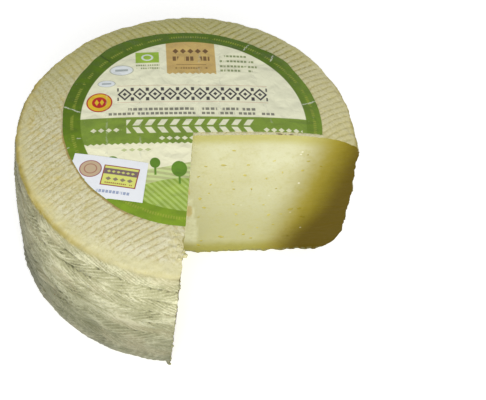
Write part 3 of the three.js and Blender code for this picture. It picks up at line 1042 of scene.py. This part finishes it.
def makeCrumbs(settings):
    back, front, across, side, apex = notchFrame()
    lean = math.tan(math.radians(notchCut["frontLean"]))
    noise.seed_set(settings["seed"])
    bm = bmesh.new()

    def drop(centre, size):
        made = bmesh.ops.create_icosphere(bm, subdivisions=3, radius=size)["verts"]
        flat = Vector((0.8 + 0.4 * noise.random(), 0.8 + 0.4 * noise.random(), 0.75 + 0.3 * noise.random()))
        for vert in made:
            place = vert.co / size
            lump = 1 + 0.4 * noise.noise(place * 1.1 + centre) + 0.15 * noise.noise(place * 3 + centre)
            vert.co = centre + vert.co * lump * flat

    x, y, z, size = settings["knob"]
    drop(Vector((x, y, z)), size)
    for i in range(settings["seam"]):
        y = -72 - 16 * noise.random()
        x = -1 + 0.3 * (-72 - y) + 5.5 * noise.random()
        size = 0.4 + 0.5 * noise.random() ** 2
        drop(Vector((x, y, wheelShape["height"] - domeDrop(math.hypot(x, y)) - size * 0.15)), size)
    for i in range(settings["edge"]):
        z = 6 + 88 * noise.random()
        place = apex + front * (86.2 + 0.11 * z - 0.0009 * z * z) + side * ((wheelShape["height"] - z) * lean)
        size = 0.3 + 0.35 * noise.random()
        drop(place + side * (size * (noise.random() - 0.3)) + Vector((0, 0, z)), size)
    bmesh.ops.scale(bm, vec=(mm, mm, mm), verts=bm.verts)
    return bm


def makeCrumbLook(look):
    material, tree, shader = newMaterial("crumb", 0.6)
    place = millimetres(tree)
    z = parts(tree, place)[2]
    grain = cloud(tree, place, 1.2, 3, 0.7)
    color = mix(tree, step(tree, grain, 0.4, 0.62), look["pale"], look["olive"])
    color = mix(tree, step(tree, z, 96.5, 92, 0.0, 0.75), color, look["grey"])
    feed(tree, shader.inputs["Base Color"], color)
    feed(tree, shader.inputs["Normal"], relief(tree, grain, 0.5, 0.0005))
    return material


crumbPiece = newObject("rindCrumbs", makeCrumbs(crumbs), [makeCrumbLook(crumbs)])
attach(crumbPiece, "root")
print("crumbs dropped:", len(crumbPiece.data.polygons), "faces")


# paper label, laid over the dome and cut with the cheese

def overDome(bm, lift):
    for vert in bm.verts:
        x, y = vert.co.x, vert.co.y
        vert.co.z = wheelShape["height"] - domeDrop(math.hypot(x, y)) + lift


def thicken(bm, thickness):
    top = bmesh.ops.extrude_face_region(bm, geom=bm.faces[:])
    raised = [item for item in top["geom"] if isinstance(item, bmesh.types.BMVert)]
    bmesh.ops.translate(bm, vec=(0, 0, thickness), verts=raised)
    bmesh.ops.recalc_face_normals(bm, faces=bm.faces)


def makePaper():
    bm = bmesh.new()
    centre = Vector(paper["centre"] + (0,))
    verts = [bm.verts.new(centre + Vector((paper["radius"] * i / 56, 0, 0))) for i in range(57)]
    for first, second in zip(verts, verts[1:]):
        bm.edges.new((first, second))
    bmesh.ops.spin(
        bm,
        geom=bm.verts[:] + bm.edges[:],
        cent=centre,
        axis=(0, 0, 1),
        angle=2 * math.pi,
        steps=300,
        use_merge=True,
    )
    bmesh.ops.remove_doubles(bm, verts=bm.verts, dist=0.0005)
    for vert in bm.verts:
        offset = vert.co - centre
        if offset.length > 1:
            rim = centre + offset.normalized() * paper["radius"]
            vert.co = centre + offset * (1 - paperDistance(rim.x, rim.y) / paper["radius"])
    back, front, across, side, apex = notchFrame()
    start = apex + across * paper["setBack"]
    bmesh.ops.bisect_plane(bm, geom=bm.verts[:] + bm.edges[:] + bm.faces[:], plane_co=start, plane_no=across)
    bmesh.ops.bisect_plane(bm, geom=bm.verts[:] + bm.edges[:] + bm.faces[:], plane_co=apex, plane_no=side)
    gone = []
    for face in bm.faces:
        middle = face.calc_center_median()
        if (middle - start).dot(across) < 0 and (middle - apex).dot(side) < 0:
            gone.append(face)
    bmesh.ops.delete(bm, geom=gone, context="FACES")
    overDome(bm, paper["lift"])
    for vert in bm.verts:
        x, y = vert.co.x, vert.co.y
        inside = smooth(paperDistance(x, y), -1, -8)
        buckle = 0.16 * wobble(x / 9, y / 14, 21) + 0.05 * wobble(x / 3, y / 3, 22)
        vert.co.z += buckle * inside
    thicken(bm, paper["thickness"])
    bmesh.ops.scale(bm, vec=(mm, mm, mm), verts=bm.verts)
    return bm


# print on the paper, in label radii from its centre: across to the right, up towards the far side

labelInk = {
    "cream": rgb(238, 238, 207),
    "creamLow": rgb(250, 248, 212),
    # ringTop and ringLow: one green ink, darker at the top as painted shade; ringTop also inks small dark
    # marks
    "ringTop": rgb(80, 108, 10),
    "ringLow": rgb(122, 152, 36),
    "band": rgb(122, 148, 56),
    "ringMark": rgb(160, 168, 66),
    "tan": rgb(203, 172, 106),
    "tanDark": rgb(96, 66, 38),
    "bright": rgb(150, 186, 61),
    "navy": rgb(40, 34, 52),
    "red": rgb(186, 41, 38),
    "gold": rgb(228, 190, 44),
    "white": rgb(228, 234, 236),
    "ovalLine": rgb(140, 150, 150),
    "hillPale": rgb(190, 214, 124),
    "hillMid": rgb(150, 176, 74),
    "hillGrey": rgb(176, 178, 128),
    "treeDark": rgb(98, 140, 40),
    "tear": rgb(226, 230, 212),
    "foldShade": rgb(40, 62, 18),
}


def box(tree, p, q, centre, half, soft=0.004):
    inP = step(tree, sizeOf(tree, minus(tree, p, centre[0])), half[0] + soft, half[0] - soft)
    inQ = step(tree, sizeOf(tree, minus(tree, q, centre[1])), half[1] + soft, half[1] - soft)
    return times(tree, inP, inQ)


def lozenges(tree, p, q, centre, half, width, size=0.42):
    u = sizeOf(tree, repeated(tree, p, width, centre[0] - half[0]))
    v = sizeOf(tree, over(tree, minus(tree, q, centre[1]), half[1] * 2))
    inside = step(tree, plus(tree, u, v), size + 0.05, size - 0.05)
    return times(tree, inside, box(tree, p, q, centre, half))


def dashes(tree, p, q, centre, half, width):
    u = repeated(tree, p, width, centre[0] - half[0])
    long = step(tree, sizeOf(tree, u), 0.42, 0.34)
    uneven = tree.nodes.new("ShaderNodeCombineXYZ")
    feed(tree, uneven.inputs[0], p)
    feed(tree, uneven.inputs[1], times(tree, q, 0.2))
    gaps = step(tree, cloud(tree, uneven.outputs[0], width * 2.2, 0), 0.34, 0.42)
    return times(tree, times(tree, long, gaps), box(tree, p, q, centre, half))


def crease(tree, p, q, start, end, width, wave):
    # 1 on a thin wandering line between two points
    dx, dy = end[0] - start[0], end[1] - start[1]
    length = math.hypot(dx, dy)
    sx, sy = minus(tree, p, start[0]), minus(tree, q, start[1])
    along = plus(tree, times(tree, sx, dx / length), times(tree, sy, dy / length))
    aside = minus(tree, times(tree, sy, dx / length), times(tree, sx, dy / length))
    aside = sizeOf(tree, plus(tree, aside, wave))
    inside = step(tree, sizeOf(tree, minus(tree, along, length / 2)), length / 2 + 0.01, length / 2 - 0.01)
    return times(tree, step(tree, aside, width, width * 0.35), inside)


def makePaperPrint(ink):
    material, tree, shader = newMaterial("labelPaper", 0.45, 0.3)
    coords = tree.nodes.new("ShaderNodeTexCoord")
    turned = tree.nodes.new("ShaderNodeMapping")
    turned.vector_type = "TEXTURE"
    feed(tree, turned.inputs["Vector"], coords.outputs["Object"])
    turned.inputs["Location"].default_value = (paper["centre"][0] * mm, paper["centre"][1] * mm, 0)
    turned.inputs["Rotation"].default_value = (0, 0, math.radians(paper["turn"]))
    turned.inputs["Scale"].default_value = (paper["radius"] * mm,) * 3
    flat = turned.outputs[0]
    p, q, _ = parts(tree, flat)
    rho = oval(tree, p, q, (0.014, -0.014), (1, 1))
    mottle = cloud(tree, flat, 0.12, 3, 0.6)
    wave = times(tree, minus(tree, cloud(tree, flat, 0.03, 3, 0.7), 0.5), 0.045)

    # cream fields
    color = mix(tree, step(tree, q, -0.1, -0.3), ink["cream"], ink["creamLow"])

    # upper field
    def paint(mask, name, amount=1.0):
        nonlocal color
        if amount < 1:
            mask = times(tree, mask, amount)
        color = mix(tree, mask, color, ink[name])

    pinked = sizeOf(tree, repeated(tree, p, 0.046))
    tanLow = timesPlus(tree, pinked, 0.03, 0.472)
    tan = step(tree, q, tanLow, plus(tree, tanLow, 0.008))
    tan = times(tree, box(tree, p, q, (0.014, 0.68), (0.196, 0.3)), tan)
    paint(tan, "tan")
    paint(lozenges(tree, p, q, (0.014, 0.745), (0.15, 0.036), 0.06), "tanDark", 0.9)
    paint(dashes(tree, p, q, (0.014, 0.655), (0.15, 0.026), 0.035), "tanDark", 0.85)
    paint(box(tree, p, q, (0.014, 0.585), (0.12, 0.004), 0.003), "tanDark", 0.6)
    paint(dashes(tree, p, q, (0.014, 0.545), (0.13, 0.01), 0.02), "tanDark", 0.6)

    paint(box(tree, p, q, (-0.334, 0.672), (0.0935, 0.063)), "bright")
    leaf = sizeOf(tree, minus(tree, oval(tree, p, q, (-0.334, 0.672), (0.05, 0.04)), 0.8))
    paint(step(tree, leaf, 0.22, 0.1), "white", 0.85)
    for height in (0.58, 0.545):
        paint(dashes(tree, p, q, (-0.334, height), (0.0935, 0.009), 0.018), "ringTop", 0.7)
    for centre, half in (((-0.540, 0.530), (0.091, 0.055)), ((-0.659, 0.383), (0.067, 0.035))):
        shape = oval(tree, p, q, centre, half)
        paint(step(tree, shape, 1.12, 1.02), "ovalLine", 0.6)
        paint(step(tree, shape, 1.0, 0.9), "white")
        paint(box(tree, p, q, centre, (half[0] * 0.55, half[1] * 0.22)), "ovalLine", 0.8)

    seal = oval(tree, p, q, (-0.716, 0.182), (0.1, 0.1))
    paint(step(tree, seal, 1.04, 0.98), "red")
    paint(step(tree, seal, 0.93, 0.88), "gold")
    paint(step(tree, seal, 0.6, 0.55), "red")
    paint(lozenges(tree, p, q, (-0.716, 0.182), (0.04, 0.04), 0.04), "gold")
    first = 0.24
    for height, last in ((0.69, 0.49), (0.63, 0.52), (0.57, 0.54), (0.52, 0.5)):
        words = dashes(tree, p, q, ((first + last) / 2, height), ((last - first) / 2, 0.012), 0.028)
        paint(words, "ringTop", 0.75)

    # dark frieze in the middle
    u = sizeOf(tree, repeated(tree, p, 0.118, 0.0125))
    v = sizeOf(tree, over(tree, minus(tree, q, 0.26), 0.14))
    sum1 = plus(tree, u, v)
    rim = step(tree, sizeOf(tree, minus(tree, sum1, 0.4)), 0.1, 0.06)
    dot = step(tree, sum1, 0.17, 0.12)
    corners = times(tree, step(tree, u, 0.36, 0.42), step(tree, v, 0.2, 0.27))
    frieze = calc(tree, "MAXIMUM", calc(tree, "MAXIMUM", rim, dot), corners)
    paint(times(tree, frieze, box(tree, p, q, (0.0125, 0.26), (0.5895, 0.07))), "navy", 0.95)
    for height in (0.352, 0.173):
        paint(box(tree, p, q, (0.0125, height), (0.5895, 0.002), 0.003), "red", 0.55)
    paint(dashes(tree, p, q, (0, 0.098), (0.5, 0.014), 0.04), "navy", 0.75)
    paint(dashes(tree, p, q, (0, 0.053), (0.65, 0.013), 0.036), "navy", 0.75)

    # lower field: rolling fields with furrows and round trees
    swell = times(tree, calc(tree, "SINE", timesPlus(tree, p, 5.2, 0.7)), 0.045)
    swellTwo = times(tree, calc(tree, "SINE", timesPlus(tree, p, 7.5, 2.4)), 0.035)
    farHill = step(tree, minus(tree, q, swell), -0.455, -0.463)
    paint(farHill, "hillPale", 0.75)
    stripes = step(tree, sizeOf(tree, repeated(tree, plus(tree, q, swell), 0.045)), 0.3, 0.22)
    paint(times(tree, farHill, stripes), "hillGrey", 0.7)
    nearHill = step(tree, minus(tree, q, swellTwo), -0.62, -0.628)
    paint(nearHill, "hillMid")
    rows = step(tree, sizeOf(tree, repeated(tree, timesPlus(tree, q, 0.9, p), 0.05)), 0.3, 0.2)
    paint(times(tree, nearHill, rows), "hillPale", 0.6)
    trees = (((-0.12, -0.5), (0.06, 0.075)), ((-0.3, -0.44), (0.04, 0.05)), ((-0.62, -0.42), (0.05, 0.055)))
    for centre, half in trees:
        paint(step(tree, oval(tree, p, q, centre, half), 1.03, 0.95), "treeDark")
        paint(box(tree, p, q, (centre[0], centre[1] - half[1] - 0.03), (0.008, 0.035)), "treeDark")
    paint(lozenges(tree, p, q, (-0.44, -0.31), (0.12, 0.02), 0.06), "hillMid", 0.6)

    # green band with a pinked lower edge
    pinkedLow = timesPlus(tree, pinked, 0.03, -0.26)
    band = times(tree, step(tree, q, 0.021, 0.013), step(tree, q, pinkedLow, plus(tree, pinkedLow, 0.008)))
    paint(band, "band")
    v = sizeOf(tree, over(tree, plus(tree, q, 0.078), 0.15))
    chevron = calc(tree, "FRACT", minus(tree, over(tree, p, 0.095), times(tree, v, 0.95)))
    chevron = times(tree, step(tree, chevron, 0.02, 0.1), step(tree, chevron, 0.62, 0.54))
    chevron = times(tree, chevron, step(tree, v, 0.04, 0.08))
    paint(times(tree, chevron, box(tree, p, q, (-0.0125, -0.078), (0.4975, 0.068))), "cream", 0.95)
    for across, up, wide, tall in (
        (-0.67, -0.11, 0.12, 0.026), (0.695, -0.11, 0.155, 0.026), (-0.135, -0.2, 0.135, 0.024),
    ):
        paint(lozenges(tree, p, q, (across, up), (wide, tall), 0.058), "cream", 0.9)

    # green ring with small marks along it
    ring = step(tree, rho, 0.872, 0.88)
    # painted shade: the ring is painted darker towards its far top and lighter low down, as the paper slopes
    # away from the light
    ringColor = mix(tree, step(tree, q, 0.3, -0.8), ink["ringTop"], ink["ringLow"])
    ringColor = mix(tree, step(tree, p, 0.6, 0.95, 0.0, 0.5), ringColor, ink["band"])
    color = mix(tree, ring, color, ringColor)
    around = calc(tree, "ARCTAN2", q, p)
    tick = sizeOf(tree, repeated(tree, around, 0.021))
    height = sizeOf(tree, minus(tree, rho, 0.942))
    marks = times(tree, step(tree, tick, 0.36, 0.22), step(tree, height, 0.016, 0.008))
    gaps = step(tree, cloud(tree, stretch(tree, flat, (1, 1, 0)), 0.07, 1), 0.4, 0.5)
    paint(times(tree, marks, gaps), "ringMark", 0.6)

    # wear: mottled ink, creases and white tears, and painted shade along one fold
    worn = cloud(tree, flat, 0.02, 3, 0.65)
    color = mix(tree, step(tree, worn, 0.66, 0.8, 0.0, 0.5), color, ink["tear"])
    color = mix(tree, step(tree, mottle, 0.35, 0.7, 0.0, 0.35), color, ink["cream"], "SOFT_LIGHT")
    tears = (
        ((-0.99, 0.173), (-0.865, 0.091)), ((0.443, 0.772), (0.499, 0.861)), ((0.655, 0.655), (0.687, 0.74)),
        ((0.872, 0.179), (0.992, 0.235)), ((-0.885, -0.176), (-0.86, -0.17)),
        ((-0.965, -0.265), (-0.945, -0.255)),
    )
    for start, end in tears:
        color = mix(tree, times(tree, crease(tree, p, q, start, end, 0.006, wave), 0.65), color, ink["tear"])
    # painted shade: a dark line along a fold across the ring
    rimFold = crease(tree, p, q, (-0.708, 0.728), (-0.622, 0.629), 0.012, wave)
    color = mix(tree, times(tree, rimFold, 0.5), color, ink["foldShade"])
    folds = None
    for start, end in (
        ((-0.658, 0.3), (-0.66, -0.395)), ((-0.395, 0.45), (-0.405, -0.407)), ((0.087, 0.8), (0.053, -0.118)),
        ((0.248, 0.72), (0.207, -0.117)), ((-0.865, 0.091), (-0.6, 0.06)), ((0.5, 0.5), (0.62, -0.05)),
    ):
        mask = crease(tree, p, q, start, end, 0.009, wave)
        folds = mask if folds is None else calc(tree, "MAXIMUM", folds, mask)
    folds = times(tree, folds, step(tree, cloud(tree, flat, 0.06, 2), 0.4, 0.6))
    color = mix(tree, times(tree, folds, 0.22), color, ink["tear"])
    feed(tree, shader.inputs["Base Color"], color)

    height = times(tree, crumple(tree, flat, 0.2, 0.14), 0.9)
    height = plus(tree, height, times(tree, crumple(tree, flat, 0.08, 0.09), 0.25))
    height = plus(tree, height, times(tree, folds, 0.3))
    feed(tree, shader.inputs["Normal"], relief(tree, height, 0.62, 0.0009))
    return material


label =newObject("paperLabel", makePaper(), [makePaperPrint(labelInk)])
label.data.set_sharp_from_angle(angle=math.radians(50))
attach(label, "root")
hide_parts("top_label")
print("label laid:", len(label.data.polygons), "faces")


# control sticker on the label's lower left, trimmed along the paper's edge

sticker = {
    # lower left, lower right, upper right and upper left corner, before it is trimmed
    "corners": [(-61.2, -54.7), (-18.7, -57.7), (-18.7, -31.7), (-59.1, -28.2)],
    "thickness": 0.2,
    "lift": 0.56,
    "centre": (-39.4, -43.2),
    "turn": -4.6,
}

stickerInk = {
    "white": rgb(246, 249, 253),
    "yellow": rgb(228, 232, 120),
    "maroon": rgb(150, 50, 50),
    "grey": rgb(128, 108, 106),
    "tan": rgb(203, 180, 146),
    "blue": rgb(130, 148, 186),
}


def makeSticker():
    bm = bmesh.new()
    bmesh.ops.create_grid(bm, x_segments=42, y_segments=27, size=0.5)
    lowLeft, lowRight, highRight, highLeft = [Vector(corner + (0,)) for corner in sticker["corners"]]
    for vert in bm.verts:
        u, v = vert.co.x + 0.5, vert.co.y + 0.5
        vert.co = lowLeft.lerp(lowRight, u).lerp(highLeft.lerp(highRight, u), v)
    outside = [vert for vert in bm.verts if paperDistance(vert.co.x, vert.co.y) > 0.9]
    bmesh.ops.delete(bm, geom=outside, context="VERTS")
    middle = Vector(paper["centre"] + (0,))
    for vert in bm.verts:
        beyond = paperDistance(vert.co.x, vert.co.y)
        if beyond > 0 or (vert.is_boundary and beyond > -0.5):
            vert.co -= (vert.co - middle).normalized() * beyond
    overDome(bm, sticker["lift"])
    for vert in bm.verts:
        vert.co.z += 0.05 * wobble(vert.co.x / 8, vert.co.y / 8, 31)
    thicken(bm, sticker["thickness"])
    bmesh.ops.scale(bm, vec=(mm, mm, mm), verts=bm.verts)
    return bm


def makeStickerPrint(ink):
    material, tree, shader = newMaterial("stickerPaper", 0.38, 0.45)
    coords = tree.nodes.new("ShaderNodeTexCoord")
    turned = tree.nodes.new("ShaderNodeMapping")
    turned.vector_type = "TEXTURE"
    feed(tree, turned.inputs["Vector"], coords.outputs["Object"])
    turned.inputs["Location"].default_value = (sticker["centre"][0] * mm, sticker["centre"][1] * mm, 0)
    turned.inputs["Rotation"].default_value = (0, 0, math.radians(sticker["turn"]))
    turned.inputs["Scale"].default_value = (mm, mm, mm)
    a, b, _ = parts(tree, turned.outputs[0])
    soil = cloud(tree, turned.outputs[0], 6, 3)
    color = mix(tree, step(tree, soil, 0.4, 0.8, 0.0, 0.25), ink["white"], rgb(214, 220, 226))

    def paint(mask, name, amount=1.0):
        nonlocal color
        color = mix(tree, times(tree, mask, amount), color, ink[name])

    paint(box(tree, a, b, (6.5, 1.5), (9.7, 6.6), 0.15), "maroon")
    paint(box(tree, a, b, (6.5, 1.5), (9.1, 6.0), 0.15), "yellow")
    paint(box(tree, a, b, (6.5, 4.2), (9.1, 1.9), 0.15), "grey")
    paint(lozenges(tree, a, b, (6.5, 4.2), (7.8, 1.0), 2.6), "yellow", 0.8)
    paint(lozenges(tree, a, b, (6.5, -0.6), (7.8, 1.5), 3.9), "grey", 0.85)
    paint(dashes(tree, a, b, (6.5, -3.2), (7.5, 0.4), 1.1), "maroon", 0.8)
    disc = oval(tree, a, b, (-10.2, 4.4), (6.0, 5.4))
    paint(step(tree, disc, 1.05, 0.99), "maroon", 0.9)
    paint(step(tree, disc, 0.95, 0.9), "tan")
    paint(step(tree, sizeOf(tree, minus(tree, disc, 0.55)), 0.07, 0.03), "maroon", 0.6)
    paint(dashes(tree, a, b, (4.5, -8.8), (9.5, 0.9), 1.9), "blue", 0.8)
    feed(tree, shader.inputs["Base Color"], color)
    feed(tree, shader.inputs["Normal"], relief(tree, soil, 0.2, 0.0004))
    return material


stickerPiece = newObject("controlSticker", makeSticker(), [makeStickerPrint(stickerInk)])
stickerPiece.data.set_sharp_from_angle(angle=math.radians(50))
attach(stickerPiece, "root")
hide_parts("control_label")
print("sticker laid")


# floor and light

stageLook = {
    "floor": rgb(250, 250, 249),
    "size": 3.0,
    "glow": 0.45,
    "world": 0.44,
    "key": {"place": (0.25, -1.4, 1.15), "size": 1.1, "power": 19},
    "fill": {"place": (-1.1, -0.7, 0.9), "size": 1.3, "power": 2},
    "rear": {"place": (0.1, 1.2, 1.3), "size": 1.4, "power": 0.6},
}


def makeStage(look):
    bm = bmesh.new()
    bmesh.ops.create_grid(bm, x_segments=1, y_segments=1, size=look["size"])
    bmesh.ops.translate(bm, vec=(0, 0, -0.0002), verts=bm.verts)
    material, tree, shader = newMaterial("floor", 0.7, 0.2)
    tone = cloud(tree, millimetres(tree), 300, 2)
    feed(tree, shader.inputs["Base Color"], mix(tree, tone, look["floor"], rgb(247, 247, 246)))
    shader.inputs["Emission Color"].default_value = (1, 1, 1, 1)
    shader.inputs["Emission Strength"].default_value = look["glow"]
    floor = newObject("floor", bm, [material])
    world = bpy.data.worlds.new("studio")
    world.use_nodes = True
    world.node_tree.nodes["Background"].inputs["Color"].default_value = (1, 1, 1, 1)
    world.node_tree.nodes["Background"].inputs["Strength"].default_value = look["world"]
    scene.world = world
    for name in ("key", "fill", "rear"):
        light = bpy.data.lights.new(name, "AREA")
        light.shape = "DISK"
        light.size = look[name]["size"]
        light.energy = look[name]["power"]
        lamp = bpy.data.objects.new(name, light)
        place = Vector(look[name]["place"])
        lamp.location = place
        lamp.rotation_euler = (Vector((0, 0, 0.05)) - place).to_track_quat("-Z", "Y").to_euler()
        scene.collection.objects.link(lamp)
    scene.view_settings.view_transform = "Standard"


makeStage(stageLook)
print("stage lit")
